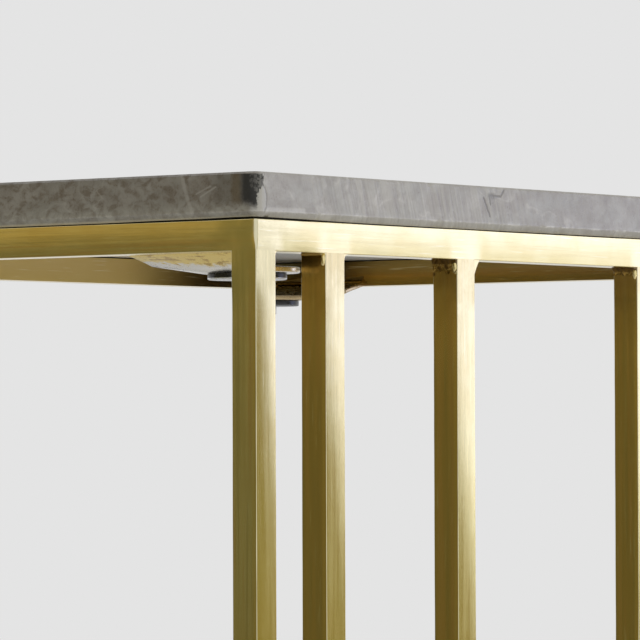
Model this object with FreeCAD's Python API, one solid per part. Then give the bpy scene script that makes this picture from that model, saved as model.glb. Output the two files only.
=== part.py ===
import FreeCAD, Part
import math
import os

from FreeCAD import Vector

# Wine table in the shape of a C: a stone slab bolted to a welded frame of square bar.
# X runs along the slatted side, Y from the slatted side to the open side, Z up from the floor.
# All lengths are in millimetres.

# The whole table
table_width = 400.0
table_depth = 315.0
table_height = 600.0

# Square bar that the frame is welded from
bar_side = 12.0
bar_edge_radius = 1.0

# Slats between the posts, whose spaces grow towards the middle
slat_step_shares = (1, 2, 3, 2, 1)

# How far a ground joint laps up the rounded edge of the rail, as a share of that radius
joint_lap_share = 0.8

# Stone slab
slab_thickness = 17.6
slab_corner_radius = 4.0
slab_bottom_bevel = 2.0
slab_top_bevel = 0.8

# Cushion tape between the rails and the slab, which leaves the dark line under the stone
tape_thickness = 0.4
tape_width = 7.0

# Floor glides, each with a stem in a blind hole of the base
glide_height = 3.0
glide_diameter = 10.0
glide_edge_bevel = 0.8
glide_stem_diameter = 5.0
glide_stem_length = 8.0
glide_stem_clearance = 0.1
glide_corner_distance = 30.0

# Fixing tabs: bent plates welded inside the corners of the top ring
tab_thickness = 2.3
tab_root_length = 4.0
tab_ramp_length = 12.0
tab_drop = 6.8
tab_root_width = 56.0
tab_rail_clearance = 5.0

# Bolts that hold the slab down, one in each corner, measured from the outer faces of the ring
bolt_from_side = 42.0
bolt_from_front = 37.6
bolt_diameter = 6.0
bolt_head_width = 10.0
bolt_head_height = 4.0
bolt_engagement = 8.0
bolt_hole_clearance = 0.4

# Washers and threaded inserts
washer_diameter = 31.0
washer_thickness = 2.6
washer_edge_bevel = 0.5
insert_diameter = 10.0
insert_length = 10.0
thread_clearance = 0.1

# Weld beads in the inner corners of the frame
weld_leg = 3.4
weld_hollow_share = 0.32
tab_weld_leg = 2.5

# Every cutting tool runs past the faces that it cuts by this much
cut_overrun = 5.0

half_width = table_width / 2
half_depth = table_depth / 2
base_bottom = glide_height
base_top = base_bottom + bar_side
slab_bottom = table_height - slab_thickness
rail_top = slab_bottom - tape_thickness
rail_bottom = rail_top - bar_side

up = Vector(0, 0, 1)
middle = Vector(0, 0, 0)


def prism(points, bottom, top):
    """A vertical prism over a closed outline of x, y points."""
    corners = [Vector(x, y, bottom) for x, y in points]
    outline = Part.makePolygon(corners + corners[:1])
    return Part.Face(outline).extrude(up * (top - bottom))


def edges_along(shape, direction):
    """The straight edges of a shape that run along a direction."""
    straight = [edge for edge in shape.Edges if isinstance(edge.Curve, Part.Line)]
    return [edge for edge in straight if abs(edge.Curve.Direction.dot(direction)) > math.cos(math.pi / 4)]


def bottom_edges(shape):
    """The edges round the lowest face of a shape."""
    return min(shape.Faces, key=lambda face: face.CenterOfMass.z).Edges


def top_edges(shape):
    """The edges round the highest face of a shape."""
    return max(shape.Faces, key=lambda face: face.CenterOfMass.z).Edges


def square_bar(corner, size):
    """A bar with rounded long edges, from its lowest corner; its longest side is its length."""
    bar = Part.makeBox(*size, corner)
    directions = (Vector(1, 0, 0), Vector(0, 1, 0), Vector(0, 0, 1))
    along = directions[size.index(max(size))]
    return bar.makeFillet(bar_edge_radius, edges_along(bar, along))


def at_corners(front_left):
    """The same piece in all four corners of the table, mirrored."""
    front_right = front_left.mirror(middle, Vector(1, 0, 0))
    return {
        "front_left": front_left,
        "front_right": front_right,
        "back_left": front_left.mirror(middle, Vector(0, 1, 0)),
        "back_right": front_right.mirror(middle, Vector(0, 1, 0)),
    }


def ring_rails(bottom):
    """Four mitred bars that make a rectangular ring, flush with the outline of the table."""
    inner_x = half_width - bar_side
    inner_y = half_depth - bar_side
    front = [(-half_width, -half_depth), (half_width, -half_depth), (inner_x, -inner_y), (-inner_x, -inner_y)]
    left = [(-half_width, -half_depth), (-inner_x, -inner_y), (-inner_x, inner_y), (-half_width, half_depth)]
    whole = Part.makeBox(table_width, table_depth, bar_side, Vector(-half_width, -half_depth, bottom))
    whole = whole.makeFillet(bar_edge_radius, edges_along(whole, up))
    lowest = Vector(-half_width, -half_depth, bottom)
    front_bar = square_bar(lowest, (table_width, bar_side, bar_side))
    left_bar = square_bar(lowest, (bar_side, table_depth, bar_side))
    front_rail = front_bar.common(prism(front, bottom, bottom + bar_side)).common(whole)
    left_rail = left_bar.common(prism(left, bottom, bottom + bar_side)).common(whole)
    return {
        "front": front_rail,
        "back": front_rail.mirror(middle, Vector(0, 1, 0)),
        "left": left_rail,
        "right": left_rail.mirror(middle, Vector(1, 0, 0)),
    }


def upright_places():
    """The lowest x of each upright, the two posts first and last."""
    step = (table_width - bar_side) / sum(slat_step_shares)
    places = [-half_width]
    for share in slat_step_shares:
        places.append(places[-1] + share * step)
    return places


def upright(place, rails):
    """A post or slat, its ends ground to lap the rounded edges of the rails it is welded to."""
    lap = bar_edge_radius * joint_lap_share
    bottom = base_top - lap
    length = rail_bottom + lap - bottom
    bar = square_bar(Vector(place, -half_depth, bottom), (bar_side, bar_side, length))
    return bar.cut(rails)


def bead(corner, out, along, run):
    """A hollow weld bead in a square corner, between two legs and along a run."""
    hollow = corner + (out + along) * weld_hollow_share
    curve = Part.Arc(corner + out, hollow, corner + along).toShape()
    section = Part.Wire([Part.makeLine(corner, corner + out), curve, Part.makeLine(corner + along, corner)])
    return Part.Face(section).extrude(run)


def upright_bead(corner_x, height, side, rise):
    """The bead beside an upright; side and rise are 1 or -1 for the ways its legs point."""
    corner = Vector(corner_x, -half_depth + bar_edge_radius, height)
    run = Vector(0, bar_side - 2 * bar_edge_radius, 0)
    return bead(corner, Vector(side * weld_leg, 0, 0), Vector(0, 0, rise * weld_leg), run)


def upright_beads(height, rise):
    """Beads on both sides of every slat, and on the inner side of the posts, at one rail."""
    places = upright_places()
    beads = [upright_bead(places[0] + bar_side, height, 1, rise)]
    for place in places[1:-1]:
        beads.append(upright_bead(place, height, -1, rise))
        beads.append(upright_bead(place + bar_side, height, 1, rise))
    beads.append(upright_bead(places[-1], height, -1, rise))
    return Part.makeCompound(beads)


def stone_slab():
    """The slab, with rounded corners, bevelled edges and holes for its inserts."""
    slab = Part.makeBox(table_width, table_depth, slab_thickness, Vector(-half_width, -half_depth, slab_bottom))
    slab = slab.makeFillet(slab_corner_radius, edges_along(slab, up))
    slab = slab.makeChamfer(slab_bottom_bevel, bottom_edges(slab))
    slab = slab.makeChamfer(slab_top_bevel, top_edges(slab))
    hole = Part.makeCylinder(insert_diameter / 2, insert_length, bolt_centre(slab_bottom))
    return slab.cut(list(at_corners(hole).values()))


def cushion_tapes():
    """Four strips along the middle of the rails, butted at the corners."""
    inset = (bar_side - tape_width) / 2
    outer_x = half_width - inset
    outer_y = half_depth - inset
    inner_y = outer_y - tape_width
    front = Part.makeBox(2 * outer_x, tape_width, tape_thickness, Vector(-outer_x, -outer_y, rail_top))
    left = Part.makeBox(tape_width, 2 * inner_y, tape_thickness, Vector(-outer_x, -inner_y, rail_top))
    return {
        "front": front,
        "back": front.mirror(middle, Vector(0, 1, 0)),
        "left": left,
        "right": left.mirror(middle, Vector(1, 0, 0)),
    }


def bolt_centre(height):
    """The axis of the front left bolt at one height."""
    return Vector(-half_width + bolt_from_side, -half_depth + bolt_from_front, height)


def tab_outline():
    """Plan of a tab as a face: square at the rail, tangent to a round end about the bolt."""
    rail_x = -half_width + bar_side
    near_y = -half_depth + bar_side + tab_rail_clearance
    far_y = near_y + tab_root_width
    shoulder = Vector(rail_x + tab_root_length + tab_ramp_length, far_y, 0)
    centre = bolt_centre(0)
    radius = centre.y - near_y
    reach = shoulder - centre
    turn = math.atan2(reach.y, reach.x) - math.acos(radius / reach.Length)
    touch = centre + Vector(math.cos(turn), math.sin(turn), 0) * radius
    half_turn = (turn - math.pi / 2) / 2
    tip = centre + Vector(math.cos(half_turn), math.sin(half_turn), 0) * radius
    near_end = Vector(centre.x, near_y, 0)
    near_root = Vector(rail_x, near_y, 0)
    far_root = Vector(rail_x, far_y, 0)
    sides = [
        Part.makeLine(near_root, near_end),
        Part.Arc(near_end, tip, touch).toShape(),
        Part.makeLine(touch, shoulder),
        Part.makeLine(shoulder, far_root),
        Part.makeLine(far_root, near_root),
    ]
    return Part.Face(Part.Wire(sides))


def fixing_tab():
    """A plate that leaves the short rail flush with its underside and bends down to the bolt."""
    rail_x = -half_width + bar_side
    bend_x = rail_x + tab_root_length
    foot_x = bend_x + tab_ramp_length
    end_x = -half_width + 2 * bolt_from_side + tab_root_width
    low = rail_bottom - tab_drop
    under = [(rail_x, rail_bottom), (bend_x, rail_bottom), (foot_x, low), (end_x, low)]
    over = [(x, z + tab_thickness) for x, z in reversed(under)]
    profile = [Vector(x, -half_depth, z) for x, z in under + over]
    bent = Part.Face(Part.makePolygon(profile + profile[:1])).extrude(Vector(0, table_depth, 0))
    plan = tab_outline()
    plan.translate(Vector(0, 0, low - cut_overrun))
    tab = bent.common(plan.extrude(up * (rail_top - low + 2 * cut_overrun)))
    hole_radius = bolt_diameter / 2 + bolt_hole_clearance
    return tab.cut(Part.makeCylinder(hole_radius, rail_top - low + cut_overrun, bolt_centre(low - cut_overrun)))


def tab_bead():
    """The weld bead over the root of a tab, in the corner that it makes with the short rail."""
    near_y = -half_depth + bar_side + tab_rail_clearance
    corner = Vector(-half_width + bar_side, near_y, rail_bottom + tab_thickness)
    run = Vector(0, tab_root_width, 0)
    return bead(corner, Vector(tab_weld_leg, 0, 0), Vector(0, 0, tab_weld_leg), run)


def fixing_bolt():
    """A hexagon bolt that points up into the slab."""
    seat = rail_bottom - tab_drop - washer_thickness
    corner_reach = bolt_head_width / 2 / math.cos(math.pi / 6)
    centre = bolt_centre(seat)
    angles = [math.radians(60 * index) for index in range(6)]
    hexagon = [(centre.x + corner_reach * math.cos(a), centre.y + corner_reach * math.sin(a)) for a in angles]
    head = prism(hexagon, seat - bolt_head_height, seat)
    shank = Part.makeCylinder(bolt_diameter / 2, slab_bottom + bolt_engagement - seat, centre)
    return head.fuse(shank)


def penny_washer():
    """A wide flat washer with broken edges between the bolt head and the tab."""
    seat = rail_bottom - tab_drop
    disc = Part.makeCylinder(washer_diameter / 2, washer_thickness, bolt_centre(seat - washer_thickness))
    disc = disc.makeChamfer(washer_edge_bevel, bottom_edges(disc))
    hole_radius = bolt_diameter / 2 + bolt_hole_clearance
    return disc.cut(Part.makeCylinder(hole_radius, 2 * washer_thickness, bolt_centre(seat - 2 * washer_thickness)))


def threaded_insert():
    """A bush let into the underside of the slab for the bolt."""
    bush = Part.makeCylinder(insert_diameter / 2, insert_length, bolt_centre(slab_bottom))
    bore_radius = bolt_diameter / 2 + thread_clearance
    bore_depth = bolt_engagement + thread_clearance
    return bush.cut(Part.makeCylinder(bore_radius, bore_depth + cut_overrun, bolt_centre(slab_bottom - cut_overrun)))


def glide_centre(height):
    """The axis of the front left glide at one height."""
    return Vector(-half_width + glide_corner_distance, -half_depth + bar_side / 2, height)


def floor_glide():
    """A round foot with a bevelled sole and a stem that plugs into the base."""
    head = Part.makeCylinder(glide_diameter / 2, glide_height, glide_centre(0))
    head = head.makeChamfer(glide_edge_bevel, bottom_edges(head))
    stem = Part.makeCylinder(glide_stem_diameter / 2, glide_stem_length, glide_centre(glide_height))
    return head.fuse(stem).removeSplitter()


def glide_hole():
    """The blind hole for a glide's stem in the front or back rail of the base."""
    radius = glide_stem_diameter / 2 + glide_stem_clearance
    depth = glide_stem_length + glide_stem_clearance
    return Part.makeCylinder(radius, depth + glide_height, glide_centre(0))


def all_nodes():
    """Every piece of the table by name."""
    nodes = {"stone_top": stone_slab()}
    for side, tape in cushion_tapes().items():
        nodes["cushion_tape_" + side] = tape
    top_ring = ring_rails(rail_bottom)
    base_ring = ring_rails(base_bottom)
    rails = list(top_ring.values()) + list(base_ring.values())
    uprights = [upright(place, rails) for place in upright_places()]
    nodes["post_left"] = uprights[0]
    nodes["post_right"] = uprights[-1]
    for number, slat in enumerate(uprights[1:-1], start=1):
        nodes["slat_%d" % number] = slat
    holes = list(at_corners(glide_hole()).values())
    for side, rail in top_ring.items():
        nodes["top_rail_" + side] = rail
    for side, rail in base_ring.items():
        nodes["base_rail_" + side] = rail.cut(holes)
    for corner, tab in at_corners(fixing_tab()).items():
        nodes["fixing_tab_" + corner] = tab
    for corner, glide in at_corners(floor_glide()).items():
        nodes["floor_glide_" + corner] = glide
    nodes["fixing_bolts"] = Part.makeCompound(list(at_corners(fixing_bolt()).values()))
    nodes["penny_washers"] = Part.makeCompound(list(at_corners(penny_washer()).values()))
    nodes["threaded_inserts"] = Part.makeCompound(list(at_corners(threaded_insert()).values()))
    nodes["top_weld_beads"] = upright_beads(rail_bottom, -1)
    nodes["base_weld_beads"] = upright_beads(base_top, 1)
    nodes["tab_weld_beads"] = Part.makeCompound(list(at_corners(tab_bead()).values()))
    return nodes


os.makedirs("parts", exist_ok=True)
for name, shape in all_nodes().items():
    print(name, len(shape.Solids), "solids", round(shape.Volume), "mm3", "valid" if shape.isValid() else "INVALID")
    shape.exportStep("parts/%s.step" % name)
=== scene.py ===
import math
import random
from dataclasses import dataclass
from functools import reduce

import bmesh
import bpy
import numpy as np
from mathutils import Matrix, Vector, noise


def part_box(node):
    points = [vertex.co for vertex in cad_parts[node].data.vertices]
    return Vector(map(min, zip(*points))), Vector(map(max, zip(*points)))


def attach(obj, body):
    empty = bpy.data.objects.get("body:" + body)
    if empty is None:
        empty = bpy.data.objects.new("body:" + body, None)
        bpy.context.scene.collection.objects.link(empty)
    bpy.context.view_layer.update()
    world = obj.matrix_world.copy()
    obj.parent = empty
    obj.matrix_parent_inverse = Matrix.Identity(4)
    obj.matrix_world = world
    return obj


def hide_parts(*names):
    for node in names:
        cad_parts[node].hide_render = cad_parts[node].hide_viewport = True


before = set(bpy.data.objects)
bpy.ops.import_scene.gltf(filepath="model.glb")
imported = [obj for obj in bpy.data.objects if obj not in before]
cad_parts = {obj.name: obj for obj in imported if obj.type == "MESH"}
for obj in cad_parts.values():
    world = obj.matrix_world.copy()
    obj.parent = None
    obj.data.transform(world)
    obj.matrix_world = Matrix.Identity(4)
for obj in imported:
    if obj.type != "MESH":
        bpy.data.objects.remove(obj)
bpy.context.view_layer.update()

# Lengths are in millimetres and angles in degrees. A mesh is scaled to metres when it becomes a piece.
MM = 0.001


@dataclass
class StoneLine:
    """A line in the stone: its points as places along the side and heights, its width and its strength."""
    points: tuple
    width: float
    share: float = 1.0


@dataclass
class Bead:
    """A weld bead: its legs along the rail and along the upright, and how lumpy and how hollow it is."""
    legs: tuple
    lump_share: float
    hollow_share: float = 1.0


@dataclass
class Finish:
    """The finish of a kind of bar: brush marks, stain at the joints, painted shade lower down on the
    fronts, brown patina with painted shade, and painted shade inside.
    """
    brush_axis: int
    stain_colour: tuple
    low_front_shade: tuple
    front_shade_heights: tuple
    side_patina_and_shade_share: float = 0.0
    inner_shade_share: float = 0.0


# Camera, worked out from the edges of the table in the photo
camera_place = Vector((-1566.5, -1239.4, 503.8))
camera_yaw = 37.58
camera_pitch = 1.31
camera_roll = -0.19
camera_lens = 260.2

# Surroundings, lights, cards and floor; levels, and the colours of lights and cards, are radiances
background_level = 0.776
ambient_level = 0.35
key_place = Vector((2040, -1244, 872))
key_size = (1131.0, 1131.0)
key_roll = 52
key_colour = (1.08, 1.20, 1.95)
front_place = Vector((300, -2600, 1700))
front_size = (2400.0, 1700.0)
front_colour = (3.4, 3.35, 3.1)
right_card_place = Vector((2200, -1830, 450))
right_card_size = (2000.0, 1500.0)
right_card_colour = (0.29, 0.25, 0.115)
left_card_place = Vector((-1350, 1050, 640))
left_card_size = (2200.0, 900.0)
left_card_colours = {"low": (0.158, 0.144, 0.069), "high": (0.40, 0.31, 0.12)}
floor_radius = 4200.0
floor_fade = 1500.0
floor_depth = 0.01
floor_colour = (0.93, 0.93, 0.93)
floor_grain_colour = (0.5, 0.5, 0.5)

# Square bars, filed by hand: the rounding of their edges wanders between the joints
arris_radius = 0.32
arris_wander_share = 0.3
arris_thin_share = 0.4
arris_wave = 15.0
ring_corner_reaches = (1.0, 3.4)
face_crown = 0.1
crown_apex_shares = {"post_left": 0.3, "slat_2": 0.24}
crown_shares = {"slat_1": 0.5, "slat_2": 0.5}
joint_reach = 8.0
joint_fade = 14.0
ring_step = 3.0
end_places = (0.0, 0.08, 0.16, 0.25, 0.35, 0.5, 0.7, 0.95, 1.2, 1.5, 1.9, 2.4, 2.9, 3.4)
arc_steps = 5
face_shares = (0.004, 0.15, 0.32, 0.5, 0.68, 0.85, 0.996)
crease_angle = 35
upright_nodes = ("post_left", "slat_1", "slat_2", "slat_3", "slat_4", "post_right")

# Brass finish: how far its marks, painted shade and painted highlights reach, how strong and deep they are,
# and their colours
stain_reach = 30.0
# Painted highlight on the side faces along the front edge: how far from the front it fades
front_edge_highlight_reach = (1.2, 2.8)
# Painted shade inside the frame: how far from the corners it reaches
inner_shade_reach = (45.0, 120.0)
# Brown patina with painted shade on the inner faces, and on the sides of the slats
patina_and_shade_share = 0.85
back_patina_and_shade_share = 0.7
# Painted shade inside the frame: its share near the corners and on the inner side faces
corner_shade_share = 0.95
side_shade_share = 0.5
dab_depth = 0.015
brush_depth = 0.006
# Painted shade low on the front faces: the heights it fades over on the uprights, and its tints on the
# uprights and rails
upright_front_shade_heights = (430.0, 550.0)
upright_front_shade = (0.98, 0.96, 0.70)
rail_front_shade = (0.82, 0.80, 0.66)
brass_pale = (0.90, 0.79, 0.43)
brass_deep = (0.85, 0.72, 0.36)
brush_colour = (0.74, 0.59, 0.27)
scratch_colour = (0.98, 0.91, 0.62)
arris_colour = (0.80, 0.76, 0.56)
# Brown patina with painted shade on the inner faces
patina_and_shade_colour = (0.68, 0.48, 0.15)
brown_streak_colour = (0.85, 0.55, 0.22)
dull_streak_colour = (0.55, 0.46, 0.20)
# Painted highlight along the front edges of the side faces
front_edge_highlight_colour = (0.95, 0.72, 0.24)
# Painted shade on the inner faces of the frame, more of it higher up
inner_shade_colour = (0.16, 0.10, 0.03)
dull_colour = (0.50, 0.48, 0.24)
burnt_colour = (0.40, 0.26, 0.07)

# Stone slab: its lower edge has a steep bevel and is worn up a little near the corners
slab_corner_radius = 4.0
slab_corner_steps = 12
slab_bevel_rise = 2.6
slab_bevel_inset = 1.3
slab_top_bevel = 0.8
slab_cap_margin = 1.4
slab_step = 0.9
slab_face_shares = (0.02, 0.1, 0.3, 0.5, 0.7, 0.9)
slab_face_wave = 38.0
slab_face_depth = 0.12
slab_worn_rise = 0.5
slab_worn_reach = 90.0
slab_worn_wave = 24.0
slab_worn_wander_share = 0.3
chip_count = 90
chip_reach = (0.8, 3.4)
chip_depth = (0.15, 0.75)
low_chip_seed = 3
top_chip_seed = 7
insert_radius = 5.0
insert_depth = 10.0
circle_steps = 48

# Stone flaws, a painted dark reflection at each corner, painted shadow over the rails and a painted
# highlight along the bevel, as ranges over which they fade:
# heights are above the underside, and places run across each upright edge, from the short side at less than
# zero to the long side at more than zero
patch_left = (-8.9, -5.3)
patch_right = (0.6, 1.4)
patch_foot = (2.4, 6.0)
patch_head = (16.4, 17.0)
patch_lean = 3.8
patch_lean_rise = (8.5, 13.5)
stripe_left = (-13.0, -10.5)
stripe_foot = (4.0, 7.0)
shade_left = (-25.0, -17.0)
flake_left = (0.0, 1.0)
flake_right = (5.0, 7.0)
corner_jitter = 7.0
pale_foot = (2.0, 8.0)
pale_lip = (0.4, 1.2)
bevel_fade = (2.2, 2.8)
# Painted highlight along the top of the bevel: how far from it it fades
bevel_highlight_reach = (0.15, 0.6)
# Painted shadow on the underside over the rails: how far it fades
over_rail_shadow_fade = 1.0
saw_middle = -95.0
saw_reach = (35.0, 90.0)
saw_lean_share = 0.3
stone_relief = 0.07

# Lines in the stone: two cracks, a smudge and the outline of a flake; a vein and scratches; a rubbed band
front_cracks = (
    StoneLine(((-38.3, 16.4), (-40.6, 13.8), (-44.5, 13.8), (-48.5, 14.0), (-47.6, 10.4)), 0.8),
    StoneLine(((-52.3, 12.8), (-50.8, 10.2), (-48.0, 5.6)), 0.8),
    StoneLine(((-44.8, 13.7), (-48.4, 13.7)), 1.9, 0.7),
    StoneLine(((-196.3, 13.0), (-194.4, 11.3), (-193.3, 8.5), (-193.6, 4.4), (-194.8, 2.4)), 0.7, 0.6),
)
left_pale_lines = (
    StoneLine(((-121.0, 17.6), (-124.0, 8.4), (-126.5, 2.6)), 1.3),
    StoneLine(((-130.5, 8.6), (-138.0, 12.2)), 0.5),
    StoneLine(((-128.5, 9.8), (-135.5, 12.6)), 0.5),
)
front_pale_lines = (StoneLine(((-192.5, 3.1), (-170.5, 3.6)), 1.5),)

# Stone colours
stone_dark = (0.29, 0.27, 0.245)
stone_pale = (0.39, 0.375, 0.35)
stone_green = (0.34, 0.345, 0.32)
blot_colour = (0.20, 0.172, 0.145)
grain_colour = (0.25, 0.23, 0.20)
vein_colour = (0.60, 0.58, 0.54)
saw_colour = (0.54, 0.53, 0.50)
foot_colour = (0.47, 0.47, 0.43)
lip_colour = (0.70, 0.67, 0.59)
bevel_colour = (0.34, 0.325, 0.265)
# Underside painted pale, a painted reflection of the pale surroundings
underside_reflection_colour = (0.64, 0.63, 0.60)
# Painted shadow on the underside where it lies over the rails
over_rail_shadow_colour = (0.03, 0.03, 0.028)
# Painted highlight along the top of the bevel
bevel_highlight_colour = (0.62, 0.60, 0.56)
shade_colour = (0.11, 0.105, 0.095)
flake_colour = (0.44, 0.43, 0.39)
stripe_colour = (0.13, 0.095, 0.055)
pale_line_colour = (0.56, 0.55, 0.52)
crack_colour = (0.10, 0.095, 0.085)
# Painted dark reflection at each upright corner of the slab
dark_reflection_colour = (0.02, 0.02, 0.018)

# Fixing tabs, washers, inserts and bolts; a bolt head measures a little less than its nominal width
tab_ramp_length = 14.0
tab_shoulder_drop = 3.55
tab_shoulder_reach = 39.0
tab_end_shares = {"front_left": 1.0, "front_right": 0.93, "back_left": 0.9, "back_right": 0.78}
tab_rim = 0.6
tab_rows = 14
tab_steps = 96
rim_steps = 5
gilt_reach = 26.0
plate_depth = 0.12
plate_white = (0.97, 0.95, 0.89)
plate_cream = (0.88, 0.85, 0.76)
plate_edge_colour = (0.90, 0.80, 0.58)
# Painted shade on the tabs at the back of the table
back_tab_shade_colour = (0.42, 0.30, 0.14)
gilt_colour = (0.96, 0.74, 0.24)
gilt_stain_colour = (0.44, 0.27, 0.08)
washer_radius = 15.5
washer_edge = 0.6
# Painted dark reflection and shade on the washers: the heights above their bottom over which it starts
washer_shade_rise = (0.54, 0.78)
hole_radius = 3.4
bolt_radius = 3.0
bolt_head_width = 9.6
bolt_chamfer_share = 0.9
bolt_chamfer_steps = 7
bolt_turn = 8.5
thread_pitch = 1.0
thread_depth = 0.5
thread_rows = 6
zinc_depth = 0.03
zinc_pale = (0.82, 0.83, 0.83)
zinc_grey = (0.66, 0.67, 0.68)
# Painted dark reflection and shade on the washers
washer_shade_colour = (0.045, 0.046, 0.048)
bolt_colours = (0.70, 0.71, 0.73), (0.42, 0.42, 0.44)
insert_colours = (0.80, 0.62, 0.27), (0.62, 0.45, 0.17)

# Floor glides and cushion tape
glide_edge = 1.1
glide_stem_radius = 2.5
glide_rim_steps = 6
nylon_depth = 0.05
nylon_colours = (0.05, 0.05, 0.05), (0.028, 0.028, 0.028)
foam_depth = 0.1
foam_colours = (0.03, 0.03, 0.03), (0.012, 0.012, 0.012)

# Weld beads: most are alike, and those seen in the photo have their own shapes at the top and base ring
bead_root = 0.6
bead_setback = 0.12
bead_rows = 26
bead_arc_steps = 9
bead_wave = 2.6
bead_crease_angle = 60
plain_bead = Bead((2.6, 3.2), 0.35)
seen_beads = {
    ("post_left", 1): Bead((1.2, 1.5), 0.05),
    ("slat_1", -1): Bead((0.6, 0.9), 0.05),
    ("slat_1", 1): Bead((2.2, 2.4), 0.05),
    ("slat_2", -1): Bead((1.0, 5.2), 0.5),
    ("slat_2", 1): Bead((3.3, 5.6), 0.05, 0.2),
}
tab_bead = Bead((2.5, 2.5), 0.12)
tab_bead_rows = 90
tab_bead_lane = 20
nugget_reach = (0.9, 1.0, 2.4)
nugget_swell_share = 0.2
nugget_polar_shares = (0.08, 0.92)
nugget_rows = 10
nugget_steps = 16
front_bright_reach = (1.2, 3.0)
burnt_reach = (1.2, 2.4)
crust_depth = 0.2
weld_bright = (0.86, 0.73, 0.37)
weld_brown = (0.36, 0.23, 0.06)
crust_colour = (0.13, 0.075, 0.02)

x_axis = Vector((1, 0, 0))
y_axis = Vector((0, 1, 0))
z_axis = Vector((0, 0, 1))
corner_signs = {
    "front_left": (-1, -1),
    "front_right": (1, -1),
    "back_left": (-1, 1),
    "back_right": (1, 1),
}
turning_corners = ((1, 1), (-1, 1), (-1, -1), (1, -1))
ring_sides = ("front", "back", "left", "right")


def node_box(node):
    """Lowest and highest corner of a CAD node in millimetres."""
    low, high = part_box(node)
    return low / MM, high / MM


stone_low, stone_high = node_box("stone_top")
rail_low, rail_high = node_box("top_rail_front")
base_low, base_high = node_box("base_rail_front")
tab_low, tab_high = node_box("fixing_tab_front_left")
washers_low, washers_high = node_box("penny_washers")
bolts_low, bolts_high = node_box("fixing_bolts")
half_width = stone_high.x
half_depth = stone_high.y
bar_half = (rail_high.z - rail_low.z) / 2
tab_thickness = tab_high.z - rail_low.z
bolt_x = washers_low.x + washer_radius
bolt_y = washers_low.y + washer_radius
bolt_centres = [(-sign_x * bolt_x, -sign_y * bolt_y) for sign_x, sign_y in corner_signs.values()]
table_middle = Vector((0, 0, rail_low.z))


def smooth_step(low, high, values):
    """Rises from 0 to 1 between two values, with soft ends."""
    share = np.clip((np.asarray(values, float) - low) / (high - low), 0, 1)
    return share * share * (3 - 2 * share)


def full_turn(steps):
    """Angles evenly spaced round a full turn."""
    return np.linspace(0, 2 * math.pi, steps, endpoint=False)


def quarter_turn(steps):
    """Angles evenly spaced over a quarter turn, with both ends."""
    return np.linspace(0, math.pi / 2, steps)


def wander(places, wave, lane):
    """Smooth noise from -1 to 1 along a line; each lane is another line."""
    return np.array([noise.noise(Vector((place / wave, lane * 1.37, lane * 0.73))) for place in places])


def skin(bm, rows, ends="caps"):
    """Quads over rows of points that each go round; the ends get caps, meet each other or stay open."""
    made = [[bm.verts.new(point) for point in row] for row in rows]
    pairs = list(zip(made, made[1:]))
    if ends == "meet":
        pairs.append((made[-1], made[0]))
    for lower, upper in pairs:
        for index in range(len(lower)):
            after = (index + 1) % len(lower)
            bm.faces.new((lower[index], lower[after], upper[after], upper[index]))
    if ends == "caps":
        bm.faces.new(made[0])
        bm.faces.new(made[-1])
    return made


def put_in_scene(name, data):
    """Adds an object to the scene."""
    thing = bpy.data.objects.new(name, data)
    bpy.context.scene.collection.objects.link(thing)
    return thing


def add_piece(name, bm, look, nodes, marks=None, crease=crease_angle):
    """Turns a mesh into a piece of the table that stands for CAD nodes."""
    bmesh.ops.recalc_face_normals(bm, faces=bm.faces)
    bm.transform(Matrix.Scale(MM, 4))
    mesh = bpy.data.meshes.new(name)
    bm.to_mesh(mesh)
    bm.free()
    mesh.shade_smooth()
    mesh.set_sharp_from_angle(angle=math.radians(crease))
    mesh.materials.append(look)
    for mark, values in (marks or {}).items():
        mesh.attributes.new(mark, "FLOAT", "POINT").data.foreach_set("value", values)
    piece = put_in_scene(name, mesh)
    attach(piece, "root")
    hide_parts(*nodes)


class Value:
    """A number, vector or colour that a material works out for each place on a mesh."""

    def __init__(self, look, socket):
        self.look = look
        self.socket = socket

    def __add__(self, other):
        return self.look.math("ADD", self, other)

    def __sub__(self, other):
        return self.look.math("SUBTRACT", self, other)

    def __rsub__(self, other):
        return self.look.math("SUBTRACT", other, self)

    def __mul__(self, other):
        return self.look.math("MULTIPLY", self, other)

    def __truediv__(self, other):
        return self.look.math("DIVIDE", self, other)

    def __abs__(self):
        return self.look.math("ABSOLUTE", self)

    def root(self):
        return self.look.math("SQRT", self)

    def most(self, other):
        return self.look.math("MAXIMUM", self, other)

    def least(self, other):
        return self.look.math("MINIMUM", self, other)

    def spread(self, low, high, to_low=0.0, to_high=1.0):
        """Maps a range of values smoothly onto another range."""
        values = enumerate((self, low, high, to_low, to_high))
        return self.look.node("MapRange", dict(values), interpolation_type="SMOOTHSTEP")

    def fade(self, low, high, share=1.0):
        """Falls smoothly from a share to nothing over a range of values."""
        return self.spread(low, high, share, 0.0)


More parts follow.
